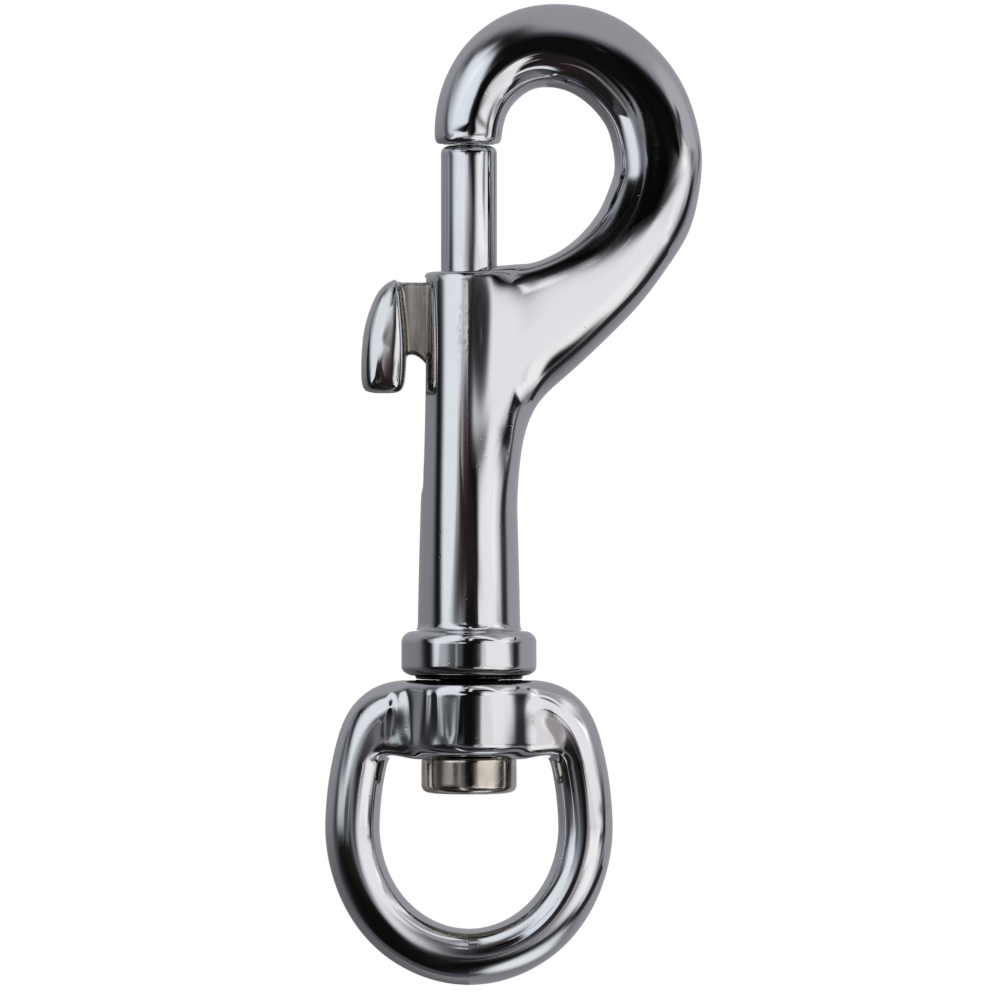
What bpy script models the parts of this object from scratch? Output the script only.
"""Swivel-eye bolt snap, about 100 mm long: a plated zinc hook body with a bored barrel, a sprung
plunger closed by a thumb trigger, and a D-shaped eye that swivels on a headed stud.

Frame: metres, +Z up along the barrel towards the hook, +X to the side the hook bulges to, +Y across.
The thumb trigger is on the -X side. The origin is on the swivel axis, at the flat land on the
lowest inside point of the eye. All sizes below are in mm."""

import math

import bmesh
import bpy
import numpy as np
from mathutils import Matrix

MM = 0.001
SHARP_ANGLE = math.radians(35)

# ---------------------------------------------------------------- hook body
PAD_R, PAD_FOOT_Z, PAD_TAPER = 5.40, 25.60, 0.1  # raised pad under the collar
COLLAR_R, COLLAR_FOOT_Z = 6.93, 25.82
COLLAR_FOOT_EDGE, COLLAR_TOP_EDGE = 0.9, 1.2  # edge radii
BARREL_FOOT_Z, BARREL_FOOT_R = 30.4, 5.25
BARREL_TOP_Z, BARREL_TOP_R, BARREL_TOP_EDGE = 66.9, 4.58, 0.55
BARREL_TAPER_END_Z = 57.0  # the barrel is straight above this
BORE_R = 2.985  # corner radius of the bore's polygon
BORE_CUT_FOOT_Z, BORE_CUT_TOP_Z = 20.0, 67.6

SLOT_HALF, SLOT_TOP_Z = 1.25, 66.20
SLOT_END_Z = 45.55  # centre of the round lower end
SLOT_CUT_X = (-9.0, 0.0)

# Hook arm: inner edge x, z; outer edge x, z; half the thickness across Y.
# It starts inside the barrel and ends at the flat nose over the plunger.
ARM_STATIONS = (
    (-1.4, 66.85, 1.6, 39.5, 3.40),
    (1.1, 66.95, 4.35, 44.3, 4.00),
    (3.1, 67.1, 5.15, 48.1, 4.15),
    (4.7, 67.3, 5.95, 51.4, 4.10),
    (6.2, 67.7, 7.45, 54.0, 4.05),
    (7.8, 68.3, 9.6, 55.95, 4.05),
    (9.4, 69.15, 12.15, 58.25, 4.05),
    (10.8, 70.2, 14.7, 60.7, 4.10),
    (12.3, 71.8, 17.75, 63.95, 4.15),
    (13.55, 73.75, 20.7, 68.0, 4.25),
    (14.35, 75.75, 22.7, 71.6, 4.30),
    (14.8, 77.9, 23.75, 77.2, 4.30),
    (14.4, 80.4, 23.55, 80.6, 4.25),
    (13.6, 82.2, 22.15, 85.3, 4.20),
    (12.2, 83.8, 18.95, 89.85, 4.15),
    (10.4, 85.0, 14.35, 93.15, 4.05),
    (8.15, 85.6, 8.95, 94.2, 3.95),
    (6.0, 85.15, 4.05, 93.3, 3.85),
    (4.45, 83.85, 0.3, 90.8, 3.70),
    (3.85, 82.85, -1.5, 88.5, 3.60),
    (3.6, 82.0, -2.85, 85.6, 3.45),
    (3.4, 81.2, -3.6, 82.2, 3.35),
)
# The rounded end of the nose, with the same columns; these stations are used as they stand.
NOSE_STATIONS = (
    (3.25, 80.6, -3.6, 80.95, 3.25),
    (3.05, 80.1, -3.25, 80.15, 2.95),
    (2.45, 79.7, -2.45, 79.7, 2.35),
)
ARM_RINGS = 50
WEB_RINGS, WEB_EXTRA_POWER = 22, 0.55  # the fuller section fades to an ellipse over these rings

HOOK_INSIDE_TOP_Z, HOOK_LAND_DEPTH = 85.6, 0.05
HOOK_LAND_X = (7.2, 9.1)
LAND_HALF_DEPTH = 2.0  # across Y, for the lands on the hook and on the eye

# ---------------------------------------------------------------- plunger and trigger
BOLT_R, BOLT_TOP_Z, BOLT_TOP_EDGE = 2.875, 79.60, 0.6
BOLT_SHOULDER_Z, BOLT_SHOULDER_CHAMFER = 51.0, 0.25
BOLT_SPIGOT_Z, BOLT_SPIGOT_R, BOLT_SPIGOT_CHAMFER = 48.6, 1.60, 0.3

PEG_Z, PEG_R, PEG_CHAMFER = 62.15, 0.95, 0.25
PEG_ROOT_X, PEG_TIP_X = -8.25, -0.90
PEG_HOLE_R, PEG_HOLE_END_X, PEG_HOLE_CUT_X = 1.05, -0.6, -9.0

NECK_HALF, NECK_TOP_Z, NECK_FOOT_Z = 1.08, 66.00, 58.30
NECK_CHAMFER, NECK_FOOT_ROUND = 0.25, 1.0
# Neck: x, height of the underside above NECK_FOOT_Z.
NECK_STATIONS = ((-8.6, 0.1), (-5.9, 0.0), (-5.0, -0.25), (-4.45, -0.7), (-4.2, -1.2), (-3.02, -1.2))

# Thumb knob: z, outer x, inner x, half depth across Y.
KNOB_STATIONS = (
    (54.42, -9.0, -7.6, 1.9),
    (54.55, -9.8, -7.0, 2.6),
    (54.95, -10.35, -6.65, 3.1),
    (55.6, -10.8, -6.5, 3.4),
    (57.0, -11.0, -6.4, 3.6),
    (59.0, -10.92, -6.35, 3.65),
    (61.2, -10.65, -6.45, 3.55),
    (63.6, -9.9, -6.7, 3.2),
    (65.1, -9.15, -6.85, 2.6),
    (65.75, -8.45, -6.95, 1.9),
    (65.95, -8.0, -7.15, 1.4),
)
KNOB_RINGS, KNOB_POWER = 20, 2.5

# ---------------------------------------------------------------- spring
SPRING_R, SPRING_WIRE_R, SPRING_FOOT_Z, SPRING_TOP_Z = 2.30, 0.27, 31.45, 50.90
SPRING_COILS, SPRING_STEPS_PER_COIL, SPRING_WIRE_SIDES = 9, 12, 7
SPRING_END_PITCH = 2 * SPRING_WIRE_R * 1.12  # first and last coil, nearly touching the next

# ---------------------------------------------------------------- stud
STUD_HEAD_R, STUD_HEAD_FOOT_Z, STUD_HEAD_TOP_Z = 4.88, 13.80, 17.50
STUD_HEAD_FOOT_EDGE, STUD_HEAD_TOP_EDGE = 0.75, 0.3
STUD_SHANK_R, STUD_PRESS_R, STUD_TOP_Z, STUD_CHAMFER = 3.00, 2.90, 31.20, 0.4
STUD_STEP_Z = (PAD_FOOT_Z - 0.15, PAD_FOOT_Z - 0.05)  # the shank narrows just below the pad

# ---------------------------------------------------------------- eye
EYE_WIRE_R, EYE_FOOT_WIRE_R = 2.80, 2.93
EYE_THICKEN_Z = 6.0  # the wire grows from here down to its lowest point
# Centre line (x, z) of the ring's right half, from the top bar round the shoulder.
EYE_SHOULDER = (
    (0.0, 22.6), (3.0, 22.6), (6.0, 22.6), (8.0, 22.25), (9.45, 21.3),
    (10.25, 20.0), (10.75, 18.5), (11.2, 16.6), (11.65, 13.8),
)
EYE_WIDE, EYE_CENTRE_Z, EYE_DROP = 11.87, 10.45, 13.30  # lower half: a half ellipse
EYE_LAND_HALF, EYE_LAND_CUT_TOP_Z = 0.95, 6.0

BOSS_R, BOSS_FOOT_Z, BOSS_TOP_Z = 6.90, 17.70, 25.45  # round boss under the collar
BOSS_FOOT_EDGE, BOSS_TOP_EDGE = 1.2, 1.4
EYE_BORE_R = 3.11
EYE_BORE_CUT_Z = (12.0, 30.0)

BRIDGE_REACH, BRIDGE_HALF_DEPTH = 9.7, 2.75  # bar that runs from the boss into the ring's legs
BRIDGE_FOOT_Z, BRIDGE_MID_Z, BRIDGE_TOP_Z = BOSS_FOOT_Z + 0.05, 22.0, BOSS_TOP_Z - 0.06
BRIDGE_EDGE = ((0.75, 0.0), (0.3, 0.2), (0.06, 0.55), (0.0, 0.9))  # inset, distance from the face
BRIDGE_TOP_EDGE_SCALE = 1.3
BRIDGE_TAPER_Z, BRIDGE_TAPER = (20.0, 22.5, 24.4, 25.4), (0.0, 0.5, 1.7, 3.1)  # z, loss of reach
# Half of the bridge's plan: x as a share of the reach, y as a share of the half depth.
BRIDGE_OUTLINE = (
    (1.0, 0.5), (0.96, 0.78), (0.89, 0.94), (0.78, 1.0),
    (-0.78, 1.0), (-0.89, 0.94), (-0.96, 0.78), (-1.0, 0.5),
)


# ---------------------------------------------------------------- curves and profiles
def path_lengths(points):
    """Distance walked along the polyline at each of its points."""
    steps = np.linalg.norm(np.diff(points, axis=0), axis=1)
    return np.concatenate([[0], np.cumsum(steps)])


def resample(points, count):
    """`count` points evenly spaced along a polyline."""
    walked = path_lengths(points)
    wanted = np.linspace(0, walked[-1], count)
    return np.stack([np.interp(wanted, walked, column) for column in points.T], axis=1)


def spline(points, count):
    """`count` evenly spaced points on the natural cubic spline through `points`.
    The knots are spaced by the square root of the chord over the first four columns."""
    points = np.asarray(points, float)
    chords = np.linalg.norm(np.diff(points[:, :4], axis=0), axis=1)
    knots = np.concatenate([[0], np.cumsum(chords**0.5)])
    size, gaps = len(knots), np.diff(knots)
    system = np.zeros((size, size))
    system[0, 0] = system[-1, -1] = 1
    target = np.zeros_like(points)
    for i in range(1, size - 1):
        before, after = gaps[i - 1], gaps[i]
        system[i, i - 1 : i + 2] = before, 2 * (before + after), after
        rise, last_rise = points[i + 1] - points[i], points[i] - points[i - 1]
        target[i] = 6 * (rise / after - last_rise / before)
    bend = np.linalg.solve(system, target)  # second derivatives at the knots

    def point_at(place):
        i = int(min(max(np.searchsorted(knots, place) - 1, 0), size - 2))
        ahead, behind, gap = knots[i + 1] - place, place - knots[i], gaps[i]
        return (
            bend[i] * ahead**3 / (6 * gap)
            + bend[i + 1] * behind**3 / (6 * gap)
            + (points[i] / gap - bend[i] * gap / 6) * ahead
            + (points[i + 1] / gap - bend[i + 1] * gap / 6) * behind
        )

    fine = np.array([point_at(place) for place in np.linspace(0, knots[-1], 40 * size)])
    return resample(fine, count)


def oval(half_u, half_v, count, power=2.0, turn=0.0):
    """Points (u, v) of a superellipse; `turn` shifts them by a part of one step."""
    points = []
    for i in range(count):
        angle = 2 * math.pi * (i + turn) / count
        c, s = math.cos(angle), math.sin(angle)
        u = half_u * math.copysign(abs(c) ** (2 / power), c)
        v = half_v * math.copysign(abs(s) ** (2 / power), s)
        points.append((u, v))
    return points


def foot_edge(radius, z, edge, steps, up=1):
    """Profile points (radius, z) of a rounded edge, from the face at z out to the wall above it."""
    angles = [math.pi / 2 * i / steps for i in range(steps + 1)]
    return [
        (radius - edge + edge * math.sin(angle), z + up * edge * (1 - math.cos(angle)))
        for angle in angles
    ]


def top_edge(radius, z, edge, steps):
    """The same for an upper edge, from the wall in to the face at z."""
    return foot_edge(radius, z, edge, steps, up=-1)[::-1]


def round_underside(x, half_width, centre_z, drop, steps):
    """Half oval at x that runs from -Y under the centre to +Y."""
    angles = [math.pi + math.pi * i / steps for i in range(steps + 1)]
    return [(x, half_width * math.cos(a), centre_z + drop * math.sin(a)) for a in angles]


# ---------------------------------------------------------------- solids
def shade(mesh):
    for poly in mesh.polygons:
        poly.use_smooth = True
    mesh.set_sharp_from_angle(angle=SHARP_ANGLE)


def make(name, bm):
    bmesh.ops.recalc_face_normals(bm, faces=bm.faces)
    mesh = bpy.data.meshes.new(name)
    bm.to_mesh(mesh)
    bm.free()
    obj = bpy.data.objects.new(name, mesh)
    bpy.context.scene.collection.objects.link(obj)
    shade(mesh)
    return obj


def loft(name, rings, closed=False):
    """Skin over rings of equal point count, capped at both ends unless closed."""
    bm = bmesh.new()
    rows = [[bm.verts.new([c * MM for c in point]) for point in ring] for ring in rings]
    count = len(rows[0])
    pairs = list(zip(rows, rows[1:]))
    if closed:
        pairs.append((rows[-1], rows[0]))
    for low, high in pairs:
        for i in range(count):
            j = (i + 1) % count
            bm.faces.new((low[i], low[j], high[j], high[i]))
    if not closed:
        bm.faces.new(rows[0])
        bm.faces.new(rows[-1])
    return make(name, bm)


def lathe(name, profile, count):
    """Solid of revolution about Z from (radius, z) points; the ends lie on the axis."""
    bm = bmesh.new()
    turns = [2 * math.pi * i / count for i in range(count)]
    rows = []
    for radius, z in profile:
        r = radius * MM
        angles = turns if radius else [0.0]
        rows.append([bm.verts.new((r * math.cos(a), r * math.sin(a), z * MM)) for a in angles])
    for low, high in zip(rows, rows[1:]):
        for i in range(count):
            j = (i + 1) % count
            if len(low) == 1:
                bm.faces.new((low[0], high[j], high[i]))
            elif len(high) == 1:
                bm.faces.new((low[i], low[j], high[0]))
            else:
                bm.faces.new((low[i], low[j], high[j], high[i]))
    return make(name, bm)


def cylinder(name, radius, start, end, count):
    return lathe(name, [(0, start), (radius, start), (radius, end), (0, end)], count)


def lay_along_x(obj, z):
    """Turns a shape built along Z so that it runs along +X at height z."""
    obj.data.transform(Matrix.Translation((0, 0, z * MM)) @ Matrix.Rotation(math.pi / 2, 4, "Y"))
    return obj


def box(name, low, high):
    bm = bmesh.new()
    bmesh.ops.create_cube(bm, size=1.0)
    for vert in bm.verts:
        vert.co = [MM * (l + (h - l) * (c + 0.5)) for c, l, h in zip(vert.co, low, high)]
    return make(name, bm)


def combine(obj, helper, operation):
    """Exact Boolean, applied, after which the helper is removed."""
    helper.hide_render = True
    helper.display_type = "WIRE"
    mod = obj.modifiers.new(operation.lower(), "BOOLEAN")
    mod.operation = operation
    mod.solver = "EXACT"
    mod.object = helper
    bpy.context.view_layer.update()
    graph = bpy.context.evaluated_depsgraph_get()
    mesh = bpy.data.meshes.new_from_object(obj.evaluated_get(graph), depsgraph=graph)
    obj.modifiers.clear()
    old, obj.data = obj.data, mesh
    bpy.data.meshes.remove(old)
    bpy.data.objects.remove(helper, do_unlink=True)
    mesh.name = obj.name
    shade(mesh)


# ---------------------------------------------------------------- the pieces
def barrel_and_collar():
    profile = [(0.0, PAD_FOOT_Z), (PAD_R - PAD_TAPER, PAD_FOOT_Z), (PAD_R, COLLAR_FOOT_Z)]
    profile += foot_edge(COLLAR_R, COLLAR_FOOT_Z, COLLAR_FOOT_EDGE, 4)
    profile += top_edge(COLLAR_R, BARREL_FOOT_Z, COLLAR_TOP_EDGE, 4)
    # Small fillet where the barrel leaves the collar.
    profile += [(BARREL_FOOT_R + 0.25, BARREL_FOOT_Z + 0.02), (BARREL_FOOT_R, BARREL_FOOT_Z + 0.35)]
    profile += [(BARREL_TOP_R, BARREL_TAPER_END_Z)]
    profile += top_edge(BARREL_TOP_R, BARREL_TOP_Z, BARREL_TOP_EDGE, 3)
    profile += [(0.0, BARREL_TOP_Z)]
    return lathe("hook_body", profile, 48)


def hook_arm():
    """Web and hook in one sweep: the section is fuller at the web and elliptical in the hook."""
    rings = []
    stations = spline(ARM_STATIONS, ARM_RINGS).tolist() + list(NOSE_STATIONS)
    for k, (inner_x, inner_z, outer_x, outer_z, half_depth) in enumerate(stations):
        mid_x, mid_z = (inner_x + outer_x) / 2, (inner_z + outer_z) / 2
        dx, dz = (outer_x - inner_x) / 2, (outer_z - inner_z) / 2
        half = math.hypot(dx, dz)
        power = 2.0 + WEB_EXTRA_POWER * max(0.0, 1 - k / WEB_RINGS)
        section = oval(half, half_depth, 24, power)
        rings.append([(mid_x + dx / half * u, v, mid_z + dz / half * u) for u, v in section])
    return loft("arm", rings)


def trigger_slot():
    rings = []
    for x in SLOT_CUT_X:
        top = [(x, SLOT_HALF, SLOT_TOP_Z), (x, -SLOT_HALF, SLOT_TOP_Z)]
        rings.append(top + round_underside(x, SLOT_HALF, SLOT_END_Z, SLOT_HALF, 8))
    return loft("slot", rings)


def hook_body():
    """Casting: hook, web, bored barrel and collar, with the trigger slot on the -X side."""
    body = barrel_and_collar()
    combine(body, hook_arm(), "UNION")
    # The cut stops just above the barrel, so the hook over it stays whole.
    bore = cylinder("bore", BORE_R, BORE_CUT_FOOT_Z, BORE_CUT_TOP_Z, 48)
    combine(body, bore, "DIFFERENCE")
    combine(body, trigger_slot(), "DIFFERENCE")
    # Small flat on the inside of the hook's crown.
    low = (HOOK_LAND_X[0], -LAND_HALF_DEPTH, 80.0)
    high = (HOOK_LAND_X[1], LAND_HALF_DEPTH, HOOK_INSIDE_TOP_Z + HOOK_LAND_DEPTH)
    combine(body, box("land", low, high), "DIFFERENCE")
    return body


def bolt_pin():
    """Plunger: rounded top edge, a spigot below for the spring, and a blind cross hole for the peg."""
    spigot_r, shoulder_z = BOLT_SPIGOT_R, BOLT_SHOULDER_Z
    profile = [
        (0.0, BOLT_SPIGOT_Z),
        (spigot_r - BOLT_SPIGOT_CHAMFER, BOLT_SPIGOT_Z),
        (spigot_r, BOLT_SPIGOT_Z + BOLT_SPIGOT_CHAMFER),
        (spigot_r, shoulder_z),
        (BOLT_R - BOLT_SHOULDER_CHAMFER, shoulder_z),
        (BOLT_R, shoulder_z + BOLT_SHOULDER_CHAMFER),
    ]
    profile += top_edge(BOLT_R, BOLT_TOP_Z, BOLT_TOP_EDGE, 4) + [(0.0, BOLT_TOP_Z)]
    pin = lathe("bolt_pin", profile, 48)
    hole = cylinder("hole", PEG_HOLE_R, PEG_HOLE_CUT_X, PEG_HOLE_END_X, 20)
    combine(pin, lay_along_x(hole, PEG_Z), "DIFFERENCE")
    return pin


def trigger_neck():
    """Neck with a rounded underside, a little deeper where it meets the plunger."""
    rings = []
    for x, rise in NECK_STATIONS:
        ring = [
            (x, NECK_HALF - NECK_CHAMFER, NECK_TOP_Z),
            (x, -NECK_HALF + NECK_CHAMFER, NECK_TOP_Z),
            (x, -NECK_HALF, NECK_TOP_Z - NECK_CHAMFER),
        ]
        centre_z = NECK_FOOT_Z + rise + NECK_FOOT_ROUND
        ring += round_underside(x, NECK_HALF, centre_z, NECK_FOOT_ROUND, 6)
        ring.append((x, NECK_HALF, NECK_TOP_Z - NECK_CHAMFER))
        rings.append(ring)
    return loft("neck", rings)


def trigger_peg():
    profile = [
        (0, PEG_ROOT_X),
        (PEG_R, PEG_ROOT_X),
        (PEG_R, PEG_TIP_X - PEG_CHAMFER),
        (PEG_R - PEG_CHAMFER, PEG_TIP_X),
        (0, PEG_TIP_X),
    ]
    return lay_along_x(lathe("peg", profile, 20), PEG_Z)


def thumb_trigger():
    """Thumb knob, the neck that runs in the slot, and the peg that enters the plunger."""
    rings = []
    for z, outer_x, inner_x, half_depth in spline(KNOB_STATIONS, KNOB_RINGS):
        section = oval((inner_x - outer_x) / 2, half_depth, 24, KNOB_POWER)
        rings.append([((outer_x + inner_x) / 2 + u, v, z) for u, v in section])
    trigger = loft("thumb_trigger", rings)
    combine(trigger, trigger_neck(), "UNION")
    combine(trigger, trigger_peg(), "UNION")
    return trigger


def bolt_spring():
    """Compression spring with closed ends, at its fitted length."""
    low, high = SPRING_FOOT_Z + SPRING_WIRE_R, SPRING_TOP_Z - SPRING_WIRE_R
    free_pitch = (high - low - 2 * SPRING_END_PITCH) / (SPRING_COILS - 2)
    rings = []
    for i in range(SPRING_COILS * SPRING_STEPS_PER_COIL + 1):
        coil = i / SPRING_STEPS_PER_COIL
        pitch = SPRING_END_PITCH
        if coil < 1:
            z = low + pitch * coil
        elif coil > SPRING_COILS - 1:
            z = high - pitch * (SPRING_COILS - coil)
        else:
            pitch = free_pitch
            z = low + SPRING_END_PITCH + pitch * (coil - 1)
        c, s = math.cos(2 * math.pi * coil), math.sin(2 * math.pi * coil)
        # Lean the wire's section so that it stays square to the helix.
        slope = pitch / (2 * math.pi * SPRING_R)
        lean, rise = -slope / math.hypot(1, slope), 1 / math.hypot(1, slope)
        ring = []
        for out, up in oval(SPRING_WIRE_R, SPRING_WIRE_R, SPRING_WIRE_SIDES):
            radius, along = SPRING_R + out, lean * up
            ring.append((radius * c - s * along, radius * s + c * along, z + rise * up))
        rings.append(ring)
    return loft("bolt_spring", rings)


def swivel_stud():
    """Headed stud: head inside the eye, shank through the eye's boss and up into the barrel."""
    profile = [(0.0, STUD_HEAD_FOOT_Z)]
    profile += foot_edge(STUD_HEAD_R, STUD_HEAD_FOOT_Z, STUD_HEAD_FOOT_EDGE, 4)
    profile += top_edge(STUD_HEAD_R, STUD_HEAD_TOP_Z, STUD_HEAD_TOP_EDGE, 2)
    profile += [
        (STUD_SHANK_R, STUD_HEAD_TOP_Z),
        (STUD_SHANK_R, STUD_STEP_Z[0]),
        (STUD_PRESS_R, STUD_STEP_Z[1]),
        (STUD_PRESS_R, STUD_TOP_Z - STUD_CHAMFER),
        (STUD_PRESS_R - STUD_CHAMFER, STUD_TOP_Z),
        (0.0, STUD_TOP_Z),
    ]
    return lathe("swivel_stud", profile, 40)


def eye_ring():
    """D-shaped ring of round section, a little thicker at its foot."""
    half = list(EYE_SHOULDER)
    for i in range(19):
        angle = math.pi / 2 * i / 18
        half.append((EYE_WIDE * math.cos(angle), EYE_CENTRE_Z - EYE_DROP * math.sin(angle)))
    right = resample(spline(half, 200), 33)
    left = right[-2:0:-1] * (-1, 1)
    path = np.concatenate([right, left])
    thicken_span = EYE_THICKEN_Z - (EYE_CENTRE_Z - EYE_DROP)
    rings = []
    for i, (x, z) in enumerate(path):
        tangent = path[(i + 1) % len(path)] - path[i - 1]
        tangent /= np.linalg.norm(tangent)
        low = min(max((EYE_THICKEN_Z - z) / thicken_span, 0.0), 1.0)
        blend = low * low * (3 - 2 * low)
        wire = EYE_WIRE_R + (EYE_FOOT_WIRE_R - EYE_WIRE_R) * blend
        section = oval(wire, wire, 22, turn=0.5)
        rings.append([(x - tangent[1] * u, v, z + tangent[0] * u) for u, v in section])
    return loft("swivel_eye", rings, closed=True)


def eye_bridge():
    """Upright bar with rounded edges; it ends inside the ring's legs and narrows towards its top."""
    levels = [(inset, BRIDGE_FOOT_Z + rise) for inset, rise in BRIDGE_EDGE]
    levels.append((0.0, BRIDGE_MID_Z))
    scale = BRIDGE_TOP_EDGE_SCALE
    levels += [(inset * scale, BRIDGE_TOP_Z - fall * scale) for inset, fall in BRIDGE_EDGE[::-1]]
    rings = []
    for inset, z in levels:
        reach = BRIDGE_REACH - np.interp(z, BRIDGE_TAPER_Z, BRIDGE_TAPER)
        depth = BRIDGE_HALF_DEPTH - inset
        rings.append(
            [(side * x * reach, side * y * depth, z) for side in (1, -1) for x, y in BRIDGE_OUTLINE]
        )
    return loft("bridge", rings)


def eye_boss():
    profile = [(0, BOSS_FOOT_Z)]
    profile += foot_edge(BOSS_R, BOSS_FOOT_Z, BOSS_FOOT_EDGE, 5)
    profile += top_edge(BOSS_R, BOSS_TOP_Z, BOSS_TOP_EDGE, 5)
    profile += [(0, BOSS_TOP_Z)]
    return lathe("boss", profile, 60)


def swivel_eye():
    """Ring with a bridge and boss across its top, bored for the stud."""
    eye = eye_ring()
    combine(eye, eye_bridge(), "UNION")
    combine(eye, eye_boss(), "UNION")
    combine(eye, cylinder("bore", EYE_BORE_R, *EYE_BORE_CUT_Z, 48), "DIFFERENCE")
    # Small flat at z = 0 on the inside of the ring's foot.
    low = (-EYE_LAND_HALF, -LAND_HALF_DEPTH, 0.0)
    high = (EYE_LAND_HALF, LAND_HALF_DEPTH, EYE_LAND_CUT_TOP_Z)
    combine(eye, box("land", low, high), "DIFFERENCE")
    return eye


# ---------------------------------------------------------------- materials and assembly
def metal(name, colour, roughness):
    mat = bpy.data.materials.new(name)
    mat.use_nodes = True
    shader = mat.node_tree.nodes["Principled BSDF"]
    shader.inputs["Base Color"].default_value = (*colour, 1.0)
    shader.inputs["Roughness"].default_value = roughness
    shader.inputs["Metallic"].default_value = 1.0
    mat.diffuse_color = (*colour, 1.0)
    return mat


def dress(obj, mat, parent=None):
    """Gives a piece its material and, where it moves, the axis that carries it."""
    obj.data.materials.clear()
    obj.data.materials.append(mat)
    if parent:
        obj.parent = parent
        obj.matrix_parent_inverse = parent.matrix_world.inverted()


def axis_empty(name, z):
    obj = bpy.data.objects.new(name, None)
    obj.location = (0, 0, z * MM)
    obj.empty_display_size = 0.005
    bpy.context.scene.collection.objects.link(obj)
    return obj


def main():
    for obj in list(bpy.data.objects):
        bpy.data.objects.remove(obj, do_unlink=True)

    chrome = metal("chrome", colour=(0.78, 0.78, 0.80), roughness=0.08)
    chrome_pin = metal("chrome_pin", colour=(0.80, 0.80, 0.82), roughness=0.10)
    chrome_trigger = metal("chrome_trigger", colour=(0.70, 0.68, 0.66), roughness=0.16)
    steel = metal("spring_steel", colour=(0.55, 0.55, 0.57), roughness=0.30)
    nickel = metal("nickel", colour=(0.74, 0.67, 0.60), roughness=0.18)
    chrome_eye = metal("chrome_eye", colour=(0.76, 0.77, 0.79), roughness=0.09)

    slide = axis_empty("bolt_slide_axis", BOLT_SHOULDER_Z)
    swivel = axis_empty("eye_swivel_axis", BOSS_FOOT_Z)
    bpy.context.view_layer.update()  # the parent inverses need the empties in place
    dress(hook_body(), chrome)
    dress(swivel_stud(), nickel)
    dress(bolt_spring(), steel)
    dress(bolt_pin(), chrome_pin, slide)
    dress(thumb_trigger(), chrome_trigger, slide)
    dress(swivel_eye(), chrome_eye, swivel)


main()
